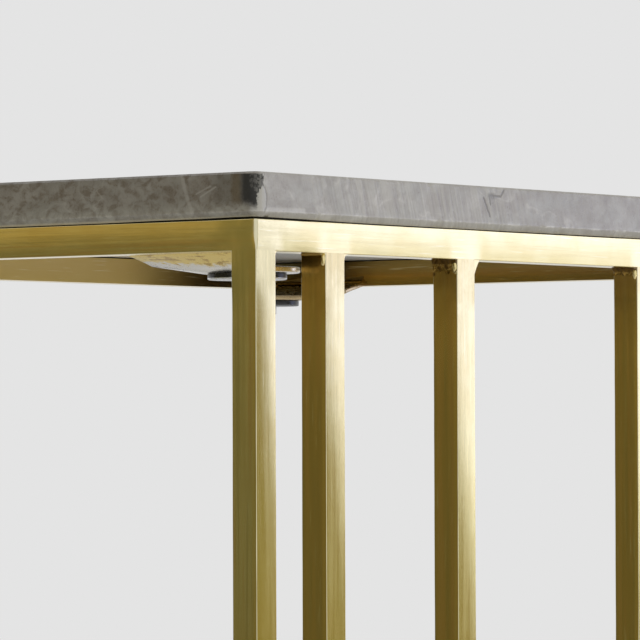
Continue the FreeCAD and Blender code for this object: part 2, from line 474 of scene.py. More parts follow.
class Look:
    """A material put together from texture nodes that work in millimetres."""

    def __init__(self, name, colour, metallic=0.0):
        self.material = bpy.data.materials.new(name)
        self.material.use_nodes = True
        self.nodes = self.material.node_tree.nodes
        self.links = self.material.node_tree.links
        self.shader = self.nodes["Principled BSDF"]
        self.shader.inputs["Metallic"].default_value = metallic
        self.colour = colour
        coordinates = self.nodes.new("ShaderNodeTexCoord")
        self.metres = Value(self, coordinates.outputs["Object"])
        self.place = self.stretched((1, 1, 1))
        facing = Value(self, coordinates.outputs["Normal"])
        self.x, self.y, self.z = self.parts(self.place)
        self.facing_x, self.facing_y, self.facing_z = self.parts(facing)

    def feed(self, socket, value):
        """Links a socket to a value, or sets it to a constant."""
        if isinstance(value, Value):
            self.links.new(value.socket, socket)
        else:
            socket.default_value = value

    def node(self, kind, values, output=0, **settings):
        """Adds a node with settings, feeds its inputs by name or number, and gives one of its outputs."""
        node = self.nodes.new("ShaderNode" + kind)
        for name, setting in settings.items():
            setattr(node, name, setting)
        for key, value in values.items():
            self.feed(node.inputs[key], value)
        return Value(self, node.outputs[output])

    def math(self, operation, *values):
        return self.node("Math", dict(enumerate(values)), operation=operation)

    def parts(self, vector):
        """The three coordinates of a vector."""
        return [self.node("SeparateXYZ", {0: vector}, axis) for axis in "XYZ"]

    def point(self, *parts):
        """A vector from three values."""
        return self.node("CombineXYZ", dict(enumerate(parts)))

    def stretched(self, per_mm, turn=(0, 0, 0)):
        """Coordinates in millimetres times a factor along each axis, after a turn."""
        scale = [MM / factor for factor in per_mm]
        rotation = [math.radians(angle) for angle in turn]
        values = {"Vector": self.metres, "Rotation": rotation, "Scale": scale}
        return self.node("Mapping", values, vector_type="TEXTURE")

    def noise(self, vector, scale=1.0, detail=3.0, roughness=0.5, distortion=0.0):
        values = {
            "Vector": vector,
            "Scale": scale,
            "Detail": detail,
            "Roughness": roughness,
            "Distortion": distortion,
        }
        return self.node("TexNoise", values, "Fac")

    def mottle(self, scale):
        """Even, grainy noise with a scale per millimetre."""
        return self.noise(self.place, scale, detail=4.0, roughness=0.6)

    def mark(self, name):
        """A value from 0 to 1 that the mesh gives for each place on it."""
        return self.node("Attribute", {}, "Fac", attribute_name=name)

    def from_sides(self):
        """Distances from the nearest short side and from the nearest long side of the table."""
        return half_width - abs(self.x), half_depth - abs(self.y)

    def blend(self, share, first, second, kind="MIX"):
        """Mixes two colours by a share."""
        node = self.nodes.new("ShaderNodeMix")
        node.data_type = "RGBA"
        node.blend_type = kind
        for name, value in (("Factor_Float", share), ("A_Color", first), ("B_Color", second)):
            socket = next(found for found in node.inputs if found.identifier == name)
            self.feed(socket, (*value, 1) if isinstance(value, tuple) else value)
        return Value(self, next(found for found in node.outputs if found.identifier == "Result_Color"))

    def paint(self, share, tint, kind="MIX"):
        """Lays a tint over the colour so far by a share."""
        self.colour = self.blend(share, self.colour, tint, kind)

    def bump(self, height, depth, under=None):
        """A normal for a height from 0 to 1 that stands for a depth in millimetres."""
        values = {"Distance": depth * MM, "Height": height}
        if under is not None:
            values["Normal"] = under
        return self.node("Bump", values)

    def done(self, roughness, normal):
        """Feeds the shader and gives the finished material."""
        for name, value in (("Base Color", self.colour), ("Roughness", roughness), ("Normal", normal)):
            self.feed(self.shader.inputs[name], value)
        return self.material


def brush_noise(look, finish, across, along, detail=3.0, roughness=0.5, turn=0):
    """Noise drawn out along the brush marks; across and along are factors per millimetre."""
    per_mm = [across] * 3
    per_mm[finish.brush_axis] = along
    return look.noise(look.stretched(per_mm, [turn] * 3), detail=detail, roughness=roughness)


def patina_and_shade_faces(look, finish, inner, sideways):
    """Brown patina and painted shade on the inner faces, and on both sides where the finish has it."""
    patina = inner * sideways.spread(0.0, 1.0, back_patina_and_shade_share, patina_and_shade_share)
    look.paint(patina.most(sideways * finish.side_patina_and_shade_share), patina_and_shade_colour)


def brush_sides(look, finish, sideways):
    """Long brown and dull streaks on the faces that look left or right, with a painted highlight along
    their front edge.
    """
    tone = brush_noise(look, finish, 0.3, 0.006, roughness=0.6)
    look.paint(sideways * tone.spread(0.5, 0.6, 0.0, 0.42), brown_streak_colour)
    look.paint(sideways * tone.fade(0.38, 0.48, 0.34), dull_streak_colour)
    # Painted highlight along the front edge of the side faces
    look.paint(sideways * (look.y + half_depth).fade(*front_edge_highlight_reach, 0.5), front_edge_highlight_colour)


def shade_inside(look, finish, inner, sideways):
    """Painted shade on the inner faces, more of it higher up and near the corners."""
    from_short, from_long = look.from_sides()
    corner_shade = from_short.most(from_long).fade(*inner_shade_reach, corner_shade_share)
    up = look.z.spread(base_high.z, rail_low.z, 0.0, finish.inner_shade_share)
    look.paint(inner * up * corner_shade.most(sideways * side_shade_share), inner_shade_colour)


def stain_joints(look, finish, blotches):
    """Heat stains near the joints, mostly on the faces that look left or right. Gives their share."""
    flat_side = abs(look.facing_x).spread(0.95, 0.985, 0.35, 1.0)
    dull = look.mark("stain") * blotches.spread(0.3, 0.6, 0.3, 1.0) * flat_side
    look.paint(dull * 0.7, finish.stain_colour)
    return dull


def shade_fronts_low(look, finish):
    """A painted shade, deeper low on the front faces, but not where a rail meets an upright."""
    # Painted shade: the front faces are multiplied darker lower down
    low_front = look.facing_y.fade(-0.9, -0.6) * look.z.fade(*finish.front_shade_heights)
    look.paint(low_front * look.mark("joined").fade(0.0, 1.0), finish.low_front_shade, "MULTIPLY")


def brass_look(name, finish):
    """Brushed brass: brush marks along one axis, hand-worked dabs, browner inner faces with painted shade,
    a painted highlight along the front edges, painted shade low on the fronts and inside, and dull joints.
    """
    look = Look(name, brass_pale, metallic=1.0)
    streaks = brush_noise(look, finish, 2.2, 0.045, detail=4.0, roughness=0.6)
    bands = brush_noise(look, finish, 0.5, 0.016)
    dabs = brush_noise(look, finish, 0.42, 0.12, roughness=0.6, turn=9)
    scratches = brush_noise(look, finish, 1.3, 0.05, detail=2.0)
    blotches = look.mottle(0.05)
    sideways = abs(look.facing_x).spread(0.6, 0.95)
    outward = look.x * look.facing_x / half_width + look.y * look.facing_y / half_depth
    inner = outward.fade(-0.8, -0.5)
    look.paint(blotches.spread(0.35, 0.7), brass_deep)
    look.paint(streaks.spread(0.45, 0.8, 0.0, 0.35), brush_colour)
    # Brown patina with painted shade on the inner faces and on the sides of the slats
    patina_and_shade_faces(look, finish, inner, sideways)
    brush_sides(look, finish, sideways)
    # Painted shade inside the frame, more of it higher up and near the corners
    shade_inside(look, finish, inner, sideways)
    look.paint(scratches.spread(0.62, 0.74, 0.0, 0.5), scratch_colour)
    dull = stain_joints(look, finish, blotches)
    # Painted shade low on the front faces
    shade_fronts_low(look, finish)
    look.paint(abs(look.facing_x * look.facing_y).spread(0.1, 0.3, 0.0, 0.8), arris_colour)
    unpolished = inner * sideways.fade(0.0, 1.0, 0.26)
    roughness = bands.spread(0.3, 0.7, 0.125, 0.185) + dull * 0.06 + unpolished
    normal = look.bump(dabs * 0.6 + bands * 0.4, dab_depth, look.bump(streaks, brush_depth))
    return look.done(roughness, normal)


def marble_look():
    """Grey-brown mottled stone: pale lower edges, saw marks on the long sides, flaws, a painted dark
    reflection at each upright corner, and painted shadow, reflection and highlight near the underside.
    """
    look = Look("marble", stone_dark)
    height = look.z - stone_low.z
    long_side = abs(look.facing_y).spread(0.4, 0.8)
    clouds = look.noise(look.place, scale=0.07, detail=6.0, roughness=0.62, distortion=0.6)
    tints = look.noise(look.stretched((0.05, 0.05, 0.09)))
    grains = look.noise(look.place, scale=0.8, detail=5.0, roughness=0.65)
    mottle = look.noise(look.stretched((0.22, 0.22, 0.28)), detail=4.0, roughness=0.6, distortion=0.5)
    look.paint(clouds.spread(0.36, 0.66), stone_pale)
    look.paint(tints.spread(0.4, 0.65, 0.0, 0.4), stone_green)
    look.paint(mottle.spread(0.42, 0.66) * long_side.spread(0.0, 1.0, 0.95, 0.3), blot_colour)
    look.paint(grains.spread(0.35, 0.72, 0.0, 0.32), grain_colour)
    paint_veins(look, clouds)
    marks = saw_marks(look, height, long_side)
    look.paint(marks * 0.3, saw_colour)
    paint_edges(look, height, long_side, mottle)
    dark, stripe, flake, shade = corner_reflection_and_flaws(look, height, grains)
    cracks, pale_lines = stone_lines(look, height, grains)
    look.paint(shade * 0.4, shade_colour)
    look.paint(flake * 0.6, flake_colour)
    look.paint(stripe * 0.65, stripe_colour)
    look.paint(pale_lines * 0.4, pale_line_colour)
    look.paint(cracks * 0.6, crack_colour)
    # Painted dark reflection at each upright corner
    look.paint(dark * 0.95, dark_reflection_colour)
    roughness = grains.spread(0.3, 0.7, 0.24, 0.36) + marks * 0.15 + dark * 0.45
    relief = marks * 0.5 + grains * 0.25 - cracks
    return look.done(roughness, look.bump(relief, stone_relief))


def paint_veins(look, clouds):
    """Thin pale veins through the stone."""
    bed = look.noise(look.stretched((0.010, 0.012, 0.016), (0, 24, 31)), detail=4.0, distortion=0.8)
    veins = abs(bed - 0.5).fade(0.0, 0.009) * clouds.spread(0.4, 0.6)
    look.paint(veins * 0.28, vein_colour)


def saw_marks(look, height, long_side):
    """Share of the slanted marks that a saw left on the long sides."""
    slanted = look.x + height * saw_lean_share
    saw = look.noise(look.point(slanted * 0.5, 0.0, height * 0.03), detail=2.0, roughness=0.45)
    zone = long_side * abs(look.x - saw_middle).spread(*saw_reach, 1.0, 0.2)
    return zone * saw.spread(0.35, 0.65)


def paint_edges(look, height, long_side, mottle):
    """Pale foot and lip of the short sides, browner bevel of the long ones, the underside painted pale as a
    painted reflection with painted shadow over the rails, and a painted highlight at the top of the bevel.
    """
    short_side = abs(look.facing_x).spread(0.4, 0.8)
    foot = short_side * height.fade(*pale_foot)
    look.paint(foot * mottle.spread(0.3, 0.6, 0.8, 0.35), foot_colour)
    look.paint(short_side * height.fade(*pale_lip, 0.8), lip_colour)
    look.paint(long_side * height.fade(*bevel_fade, 0.3), bevel_colour)
    from_short, from_long = look.from_sides()
    # Painted shadow over the rails: the strip of underside within a bar's width of the edges
    over_rail_shadow = from_short.least(from_long).fade(2 * bar_half - over_rail_shadow_fade, 2 * bar_half)
    under = look.facing_z.fade(-0.9, -0.6)
    # Underside painted pale as a painted reflection, with painted shadow where it lies over the rails
    look.paint(under, look.blend(over_rail_shadow, underside_reflection_colour, over_rail_shadow_colour))
    # Painted highlight along the top of the bevel
    bevel_highlight = abs(height - slab_bevel_rise).fade(*bevel_highlight_reach)
    look.paint(bevel_highlight * mottle.spread(0.35, 0.55, 0.5, 0.1), bevel_highlight_colour)


def corner_reflection_and_flaws(look, height, grains):
    """Shares of the dark patch, which is a painted dark reflection, and of the brown stripe, pale flake and
    grey shade at the upright edges.
    """
    from_short, from_long = look.from_sides()
    across = from_short - from_long
    jitter = (grains - 0.5) * corner_jitter
    rough = across + jitter
    edge = across - jitter * 0.3
    lean = height.spread(*patch_lean_rise, 0.0, patch_lean)
    speckles = look.noise(look.place, scale=0.9, detail=2.0).spread(0.42, 0.58, 0.72, 1.0)
    core = (rough + lean).fade(*patch_right)
    fringe = (rough - lean).fade(*patch_right) * speckles
    left = edge.spread(*patch_left)
    slanted = height + across * 0.25 + jitter * 0.4
    above = slanted.spread(*patch_foot) * height.spread(*patch_head, 1.0, 0.3)
    dark = left * above * core.most(fringe)
    lifted = height.spread(*stripe_foot)
    stripe = ((edge.spread(*stripe_left) - left) * lifted).most(0.0)
    flake = rough.fade(*flake_right) * across.spread(*flake_left)
    shade = edge.spread(*shade_left) * across.fade(*flake_left) * lifted
    upright = abs(look.facing_z).fade(0.3, 0.6)
    return [share * upright for share in (dark, stripe, flake, shade)]


def drawn_line(along, height, line):
    """Share of one thin line on a side of the stone."""
    distances = []
    for start, end in zip(line.points, line.points[1:]):
        step = Vector(end) - Vector(start)
        past = along - start[0]
        rise = height - start[1]
        run = past * (step.x / step.length_squared) + rise * (step.y / step.length_squared)
        run = run.most(0.0).least(1.0)
        off_along = past - run * step.x
        off_height = rise - run * step.y
        distances.append((off_along * off_along + off_height * off_height).root())
    return reduce(Value.least, distances).fade(line.width / 4, line.width) * line.share


def stone_lines(look, height, grains):
    """Shares of the dark cracks in the front, and of the pale lines on the left side and in the front."""
    wobble = grains - 0.5
    front = look.facing_y.fade(-0.8, -0.5)
    left = look.facing_x.fade(-0.8, -0.5)
    kinds = (
        (look.x, front, front_cracks),
        (look.y, left, left_pale_lines),
        (look.x, front, front_pale_lines),
    )
    shares = []
    for along, side, lines in kinds:
        drawn = [drawn_line(along + wobble, height, line) for line in lines]
        shares.append(reduce(Value.most, drawn) * side)
    cracks, pale_left, pale_front = shares
    return cracks, pale_left.most(pale_front)


def weld_look():
    """Brass weld metal: bright at the front, browner further back, crusty where the bead is lumpy."""
    look = Look("weld_brass", weld_bright, metallic=1.0)
    crust = look.mottle(0.5)
    look.paint((look.y + half_depth).spread(*front_bright_reach), weld_brown)
    from_ring = abs(look.z - rail_low.z).least(abs(look.z - base_high.z))
    burnt = crust.spread(0.45, 0.6).most(from_ring.fade(*burnt_reach))
    rough = look.mark("lumps").spread(0.1, 0.4) * burnt
    look.paint(rough, crust_colour)
    return look.done(rough.spread(0.0, 1.0, 0.18, 0.45), look.bump(rough * crust, crust_depth))


def tab_look():
    """Plated steel: off-white under the tongue, gilded in patches near the rail, pale on its edges, with
    painted shade on the tabs at the back.
    """
    look = Look("tab_plate", plate_white, metallic=1.0)
    patches = look.noise(look.stretched((0.30, 0.24, 0.30)), detail=4.0, roughness=0.6, distortion=0.4)
    smears = look.noise(look.stretched((0.5, 0.06, 0.5)), detail=4.0)
    rail_near = abs(look.x).spread(half_width - gilt_reach, half_width - 2 * bar_half)
    gilt = (rail_near + (patches - 0.5)).spread(0.2, 0.45)
    stained = gilt * (patches - smears).spread(0.02, 0.16)
    look.paint(smears.spread(0.35, 0.7), plate_cream)
    look.paint(gilt, gilt_colour)
    look.paint(stained * 0.7, gilt_stain_colour)
    look.paint(abs(look.facing_z).fade(0.35, 0.8), plate_edge_colour)
    # Painted shade on the tabs at the back
    look.paint(look.y.spread(0.0, half_depth / 2, 0.0, 0.75), back_tab_shade_colour)
    return look.done(patches.spread(0.3, 0.7, 0.2, 0.3), look.bump(patches, plate_depth))


def washer_look():
    """Zinc-plated washers: painted dark above their lower rim and on the back ones, a painted dark
    reflection and shade, so that only the lower rim keeps the pale zinc colour.
    """
    look = Look("washer_zinc", zinc_pale, metallic=0.8)
    mottle = look.mottle(0.35)
    above_rim = (look.z - washers_low.z).spread(*washer_shade_rise)
    behind = look.y.spread(0.0, half_depth / 2, 0.0, 0.9)
    look.paint(mottle.spread(0.35, 0.68), zinc_grey)
    # Painted dark reflection and shade above the lower rim and on the back washers
    look.paint(above_rim.most(behind), washer_shade_colour)
    return look.done(mottle.spread(0.3, 0.7, 0.22, 0.34), look.bump(mottle, zinc_depth))


def metal_look(name, colours, roughness, grain):
    """Small bright hardware with a fine mottle, in a pale and a dark colour."""
    pale, dark = colours
    look = Look(name, pale, metallic=1.0)
    mottle = look.mottle(grain)
    scuffs = look.noise(look.stretched((0.2, 2.0, 0.6), (0, 0, 30)))
    look.paint(mottle.spread(0.35, 0.68), dark)
    return look.done(scuffs.spread(0.35, 0.7, roughness, roughness + 0.16), look.bump(mottle, zinc_depth))


def black_look(name, colours, roughness, grain, depth):
    """Black rubber or plastic with a grainy skin, in a pale and a dark colour."""
    pale, dark = colours
    look = Look(name, dark)
    skin_grain = look.mottle(grain)
    look.paint(look.noise(look.place, scale=0.25).spread(0.4, 0.7), pale)
    rough = skin_grain.spread(0.3, 0.7, roughness - 0.1, roughness + 0.1)
    return look.done(rough, look.bump(skin_grain, depth))


@dataclass
class Bar:
    """A square bar: where its middle line starts, which way it runs and which sides face out."""
    origin: Vector
    axis: Vector
    out: Vector
    side: Vector
    length: float
    mitred: bool
    lane: int
    apex: float = 0.0
    crown: float = face_crown


def ring_rail(node, lane):
    """The bar of one rail in the top or base ring."""
    low, high = node_box(node)
    middle = (low + high) / 2
    size = high - low
    axis = x_axis if size.x > size.y else y_axis
    across = y_axis if size.x > size.y else x_axis
    out = across if middle.dot(across) > 0 else -across
    length = 2 * Vector((half_width, half_depth, 0)).dot(axis)
    centre = middle + out * (size.dot(across) / 2 - bar_half)
    return Bar(centre - axis * length / 2, axis, out, z_axis, length, True, lane)


def upright_bar(node, lane):
    """The bar of a post or slat, from the base ring to the top ring, a little way into both."""
    low, high = node_box(node)
    middle = (low + high) / 2
    bottom = base_high.z - arris_radius
    length = rail_low.z + arris_radius - bottom
    origin = Vector((middle.x, middle.y, bottom))
    apex = crown_apex_shares.get(node, 0.0)
    crown = face_crown * crown_shares.get(node, 1.0)
    return Bar(origin, z_axis, -y_axis, x_axis, length, False, lane, apex, crown)


def section(radii, crown, apex):
    """Outlines of a square bar, one row each: corners of their own radii and slightly crowned faces."""
    corners = []
    for number, (sign_out, sign_side) in enumerate(turning_corners):
        radius = radii[:, number:number + 1]
        angles = quarter_turn(arc_steps + 1) + number * math.pi / 2
        out = sign_out * (bar_half - radius) + radius * np.cos(angles)
        side = sign_side * (bar_half - radius) + radius * np.sin(angles)
        corners.append(np.stack((out, side), axis=-1))
    outline = []
    for arc, following in zip(corners, corners[1:] + corners[:1]):
        start = arc[:, -1:]
        outline += [arc, start + (following[:, :1] - start) * np.array(face_shares)[None, :, None]]
    points = np.concatenate(outline, axis=1)
    shares = points / bar_half
    return points * (1 - crown[:, None, None] / bar_half * (shares[..., ::-1] - apex) ** 2)


def round_ring_corners(points):
    """Rounds the upright outer corners of a ring, where two mitred rails meet, most away from the posts."""
    heights = points[..., 2:]
    past_post = np.maximum(heights - rail_low.z, base_high.z - heights)
    more = smooth_step(0, bar_half, past_post) * (np.array(ring_corner_reaches) - arris_radius)
    reaches = arris_radius + more
    centre = np.array((half_width, half_depth)) - reaches
    flat = np.abs(points[..., :2])
    shares = np.maximum(flat - centre, 0) / reaches
    distance = np.linalg.norm(shares, axis=-1, keepdims=True)
    inside = np.all(shares > 0, axis=-1, keepdims=True) & (distance > 1)
    rounded = centre + reaches * shares / np.maximum(distance, 1)
    points[..., :2] = np.sign(points[..., :2]) * np.where(inside, rounded, flat)
    return points


def bar_places(length):
    """Where the rows of a bar lie: close together at its ends, even between them."""
    ends = list(end_places)
    count = round((length - 2 * ends[-1]) / ring_step)
    middle = np.linspace(ends[-1], length - ends[-1], count + 1)
    return np.array(ends[:-1] + list(middle) + [length - place for place in reversed(ends[:-1])])


def bar_rows(bar, places, nearest):
    """Rows of points along a bar, given how far each row is from the nearest joint."""
    away = smooth_step(joint_reach, joint_reach + joint_fade, nearest)
    wanders = [wander(places, arris_wave, bar.lane * 4 + corner) for corner in range(4)]
    change = arris_wander_share * np.stack(wanders, axis=1) - arris_thin_share
    radii = arris_radius * (1 + away[:, None] * change)
    points = section(radii, bar.crown * away, bar.apex)
    inset = bar_half - points[..., 0] if bar.mitred else np.zeros(points.shape[:2])
    along = inset + places[:, None] / bar.length * (bar.length - 2 * inset)
    rows = np.array(bar.origin) + along[..., None] * np.array(bar.axis)
    rows = rows + points[..., :1] * np.array(bar.out) + points[..., 1:] * np.array(bar.side)
    return round_ring_corners(rows) if bar.mitred else rows


def bar_marks(bar, places, nearest):
    """Marks for the rows of a bar: stained by heat at its ends, and joined to an upright."""
    from_end = np.minimum(places, bar.length - places)
    stain = 1 - smooth_step(joint_reach, joint_reach + stain_reach, from_end)
    joined = 1 - smooth_step(bar_half, bar_half + joint_reach, nearest)
    return {"stain": stain, "joined": joined if bar.mitred else np.zeros(len(places))}


def add_bar(node, bar, joints, look):
    """One finished bar of the frame."""
    places = bar_places(bar.length)
    nearest = np.min(np.abs(places[:, None] - np.array(joints)), axis=1)
    rows = bar_rows(bar, places, nearest)
    marks = bar_marks(bar, places, nearest)
    bm = bmesh.new()
    skin(bm, rows)
    spread_marks = {mark: np.repeat(values, rows.shape[1]) for mark, values in marks.items()}
    add_piece("brass_" + node, bm, look, [node], spread_marks)


def add_bars():
    """The two rings, the posts and the slats."""
    rail_looks = []
    for axis in range(2):
        # The rails get the full painted shade inside the frame, and painted shade low on their fronts
        finish = Finish(axis, dull_colour, rail_front_shade, (rail_low.z, rail_high.z), inner_shade_share=1.0)
        rail_looks.append(brass_look("brass_along_" + "xy"[axis], finish))
    # The posts and slats get painted shade low on their front faces
    post_finish = Finish(2, dull_colour, upright_front_shade, upright_front_shade_heights)
    # The slats get brown patina with painted shade on both sides
    slat_finish = Finish(2, burnt_colour, upright_front_shade, upright_front_shade_heights, patina_and_shade_share)
    post_look = brass_look("brass_post", post_finish)
    slat_look = brass_look("brass_slat", slat_finish)
    upright_places = []
    for lane, node in enumerate(upright_nodes):
        bar = upright_bar(node, lane)
        upright_places.append(bar.origin.x + half_width)
        add_bar(node, bar, (0, bar.length), slat_look if node.startswith("slat") else post_look)
    lane = len(upright_nodes)
    for ring in ("top_rail_", "base_rail_"):
        for side in ring_sides:
            bar = ring_rail(ring + side, lane)
            joints = [0, bar.length] + (upright_places if side == "front" else [])
            add_bar(ring + side, bar, joints, rail_looks[0 if side in ("front", "back") else 1])
            lane += 1


def slab_outline():
    """Points round the slab in plan: their places, outward directions, distance run and wear."""
    centre_x = half_width - slab_corner_radius
    centre_y = half_depth - slab_corner_radius
    points = []
    outs = []
    for number, (sign_x, sign_y) in enumerate(turning_corners):
        centre = np.array((sign_x * centre_x, sign_y * centre_y))
        for angle in quarter_turn(slab_corner_steps + 1) + number * math.pi / 2:
            outs.append(np.array((math.cos(angle), math.sin(angle))))
            points.append(centre + outs[-1] * slab_corner_radius)
        run = 2 * (centre_y if number % 2 else centre_x)
        count = round(run / slab_step)
        step = np.array((-outs[-1][1], outs[-1][0])) * run / count
        for _ in range(count - 1):
            points.append(points[-1] + step)
            outs.append(outs[-1])
    points = np.array(points)
    runs = np.concatenate(([0], np.cumsum(np.linalg.norm(np.diff(points, axis=0), axis=1))))
    past = np.maximum(half_width - np.abs(points[:, 0]), half_depth - np.abs(points[:, 1]))
    uneven = 1 + slab_worn_wander_share * wander(runs, slab_worn_wave, 5)
    worn = slab_worn_rise * uneven * (1 - smooth_step(0, slab_worn_reach, past))
    return points, np.array(outs), runs, worn


def chips(runs, seed):
    """How deep an edge of the slab is chipped at each distance round it."""
    dice = random.Random(seed)
    depth = np.zeros(len(runs))
    for _ in range(chip_count):
        centre = dice.uniform(0, runs[-1])
        reach = dice.uniform(*chip_reach)
        deep = dice.uniform(*chip_depth) * dice.random()
        depth = np.maximum(depth, deep * np.clip(1 - ((runs - centre) / reach) ** 2, 0, 1))
    return depth


def slab_rows():
    """Rows of points up the sides of the slab: bevelled and chipped edges, slightly wavy faces."""
    points, outs, runs, worn = slab_outline()
    height = stone_high.z - stone_low.z
    low_chips = chips(runs, low_chip_seed)
    top_chips = chips(runs, top_chip_seed)
    flat = np.zeros(len(runs))
    bevel_top = slab_bevel_rise + low_chips / 2
    steps = [
        (flat + slab_bevel_inset + slab_cap_margin, flat),
        (slab_bevel_inset + low_chips, worn),
        (slab_bevel_inset / 2 + low_chips / 2, (worn + bevel_top) / 2),
        (low_chips / 4, bevel_top),
    ]
    for share in slab_face_shares:
        hollow = slab_face_depth * (0.5 + 0.5 * wander(runs, slab_face_wave, share))
        steps.append((hollow, bevel_top + share * (height - slab_top_bevel - bevel_top)))
    steps += [
        (top_chips / 2, height - slab_top_bevel - top_chips / 2),
        (slab_top_bevel + top_chips, flat + height),
        (slab_top_bevel + top_chips + slab_cap_margin, flat + height),
    ]
    return [np.column_stack((points - outs * inset[:, None], stone_low.z + rise)) for inset, rise in steps]


def add_slab():
    """The stone top, with bores for the inserts in its underside."""
    bm = bmesh.new()
    made = skin(bm, slab_rows(), ends="open")
    bm.faces.new(made[-1])
    rims = [made[0]]
    bore_profile = [(insert_radius, stone_low.z), (insert_radius, stone_low.z + insert_depth)]
    for centre in bolt_centres:
        bore = skin(bm, lathe(bore_profile, centre), ends="open")
        bm.faces.new(bore[1])
        rims.append(bore[0])
    edges = []
    for rim in rims:
        for first, second in zip(rim, rim[1:] + rim[:1]):
            edges.append(bm.edges.get((first, second)))
    bmesh.ops.triangle_fill(bm, use_beauty=True, edges=edges)
    add_piece("marble_top", bm, marble_look(), ["stone_top"])


def lathe(profile, centre, steps=circle_steps):
    """Rings of points round an upright line, from radii and heights. A radius may differ for each point."""
    angles = full_turn(steps)
    rows = []
    for radius, height in profile:
        ring = (np.cos(angles) * radius, np.sin(angles) * radius, np.full(steps, height))
        rows.append(np.column_stack(ring) + np.array((*centre, 0)))
    return rows


def lower_rim(radius, low, edge, steps):
    """Radii and heights round the soft lower edge of a disc."""
    rim = []
    for angle in quarter_turn(steps):
        rim.append((radius - edge * (1 - math.sin(angle)), low + edge * (1 - math.cos(angle))))
    return rim


def tab_reach(angle, reaches):
    """How far the edge of a tab lies from its bolt in one direction."""
    near, far, root, radius, turn = reaches
    if -math.pi / 2 <= angle <= turn:
        return radius
    found = [radius / math.cos(angle - turn)] if math.cos(angle - turn) > 0 else []
    if math.cos(angle) < 0:
        found.append(root / math.cos(angle))
    if math.sin(angle) < 0:
        found.append(near / math.sin(angle))
    if math.sin(angle) > 0:
        found.append(far / math.sin(angle))
    return min(value for value in found if value > 0)


def tab_rows_of_points(end_share):
    """Rows of points over the front left tab, from its hole out underneath, round the rim and back."""
    near = (tab_low.y - bolt_y) * end_share
    far = tab_high.y - bolt_y
    root = tab_low.x - bolt_x
    foot = root + tab_ramp_length
    radius = -near
    turn = math.atan2(far, foot) - math.acos(radius / math.hypot(foot, far))
    angles = list(np.linspace(-math.pi, math.pi, tab_steps, endpoint=False))
    angles += [math.atan2(near, root), math.atan2(far, root), math.atan2(far, foot)]
    angles = np.array(sorted(angles))
    edge = np.array([tab_reach(angle, (near, far, root, radius, turn)) for angle in angles])
    shares = np.linspace(0, 1, tab_rows)
    path = [(hole_radius + share * (edge - tab_rim - hole_radius), 0.0) for share in shares]
    path += lower_rim(edge, 0.0, tab_rim, rim_steps)[1:]
    path += [(reach, tab_thickness - rise) for reach, rise in reversed(path)]
    rows = []
    for reach, rise in path:
        plan_x = np.cos(angles) * reach
        plan_y = np.sin(angles) * reach
        ramp = np.clip((plan_x - root) / tab_ramp_length, 0, 1)
        outward = (plan_x * root + plan_y * far) / math.hypot(root, far)
        past_washer = (outward - washer_radius) / (tab_shoulder_reach - washer_radius)
        close = 1 - np.clip(past_washer, 0, 1)
        drop = ramp * (tab_shoulder_drop + (rail_low.z - tab_low.z - tab_shoulder_drop) * close)
        rows.append(np.column_stack((bolt_x + plan_x, bolt_y + plan_y, rail_low.z - drop + rise)))
    return rows


def add_tabs():
    """The four bent plates that the bolts pass through."""
    look = tab_look()
    for corner, (sign_x, sign_y) in corner_signs.items():
        rows = np.array(tab_rows_of_points(tab_end_shares[corner]))
        bm = bmesh.new()
        skin(bm, rows * np.array((-sign_x, -sign_y, 1)), ends="meet")
        add_piece("plate_" + corner, bm, look, ["fixing_tab_" + corner])


def add_washers():
    """Four wide washers with rounded edges."""
    bm = bmesh.new()
    low, high = washers_low.z, washers_high.z
    profile = [(hole_radius, low)] + lower_rim(washer_radius, low, washer_edge, rim_steps)
    profile += [(washer_radius, high - washer_edge / 2), (washer_radius - washer_edge / 2, high)]
    profile.append((hole_radius, high))
    for centre in bolt_centres:
        skin(bm, lathe(profile, centre, circle_steps * 2), ends="meet")
    add_piece("zinc_washers", bm, washer_look(), ["penny_washers"])


def hexagon_reach(angles):
    """Distance from the middle of a bolt head to its side in each direction."""
    sector = math.pi / 3
    turned = angles - math.radians(bolt_turn)
    return bolt_head_width / 2 / np.cos((turned + sector / 2) % sector - sector / 2)


def bolt_profile():
    """Radii and heights up a bolt: chamfered hexagon head, then the thread."""
    angles = full_turn(circle_steps)
    seat = washers_low.z
    end_radius = bolt_head_width / 2 * bolt_chamfer_share
    sides = hexagon_reach(angles)
    corner = bolt_head_width / 2 / math.cos(math.pi / 6)
    chamfer = (corner - end_radius) * math.tan(math.pi / 6)
    profile = [(end_radius / 2, bolts_low.z)]
    for share in np.linspace(0, 1, bolt_chamfer_steps):
        cone = end_radius + share * (corner - end_radius)
        profile.append((np.minimum(sides, cone), bolts_low.z + share * chamfer))
    profile += [(sides, seat), (bolt_radius, seat)]
    count = round((bolts_high.z - seat - thread_pitch) / thread_pitch * thread_rows)
    for height in np.linspace(seat, bolts_high.z - thread_pitch / 2, count):
        turns = ((height - seat) / thread_pitch - angles / (2 * math.pi)) % 1
        profile.append((bolt_radius - thread_depth * np.abs(2 * turns - 1), height))
    return profile + [(bolt_radius - thread_depth, bolts_high.z)]


def add_bolts():
    """Four hexagon bolts with cut threads."""
    bm = bmesh.new()
    profile = bolt_profile()
    for centre in bolt_centres:
        skin(bm, lathe(profile, centre))
    look = metal_look("bolt_zinc", bolt_colours, roughness=0.28, grain=0.5)
    add_piece("zinc_bolts", bm, look, ["fixing_bolts"])


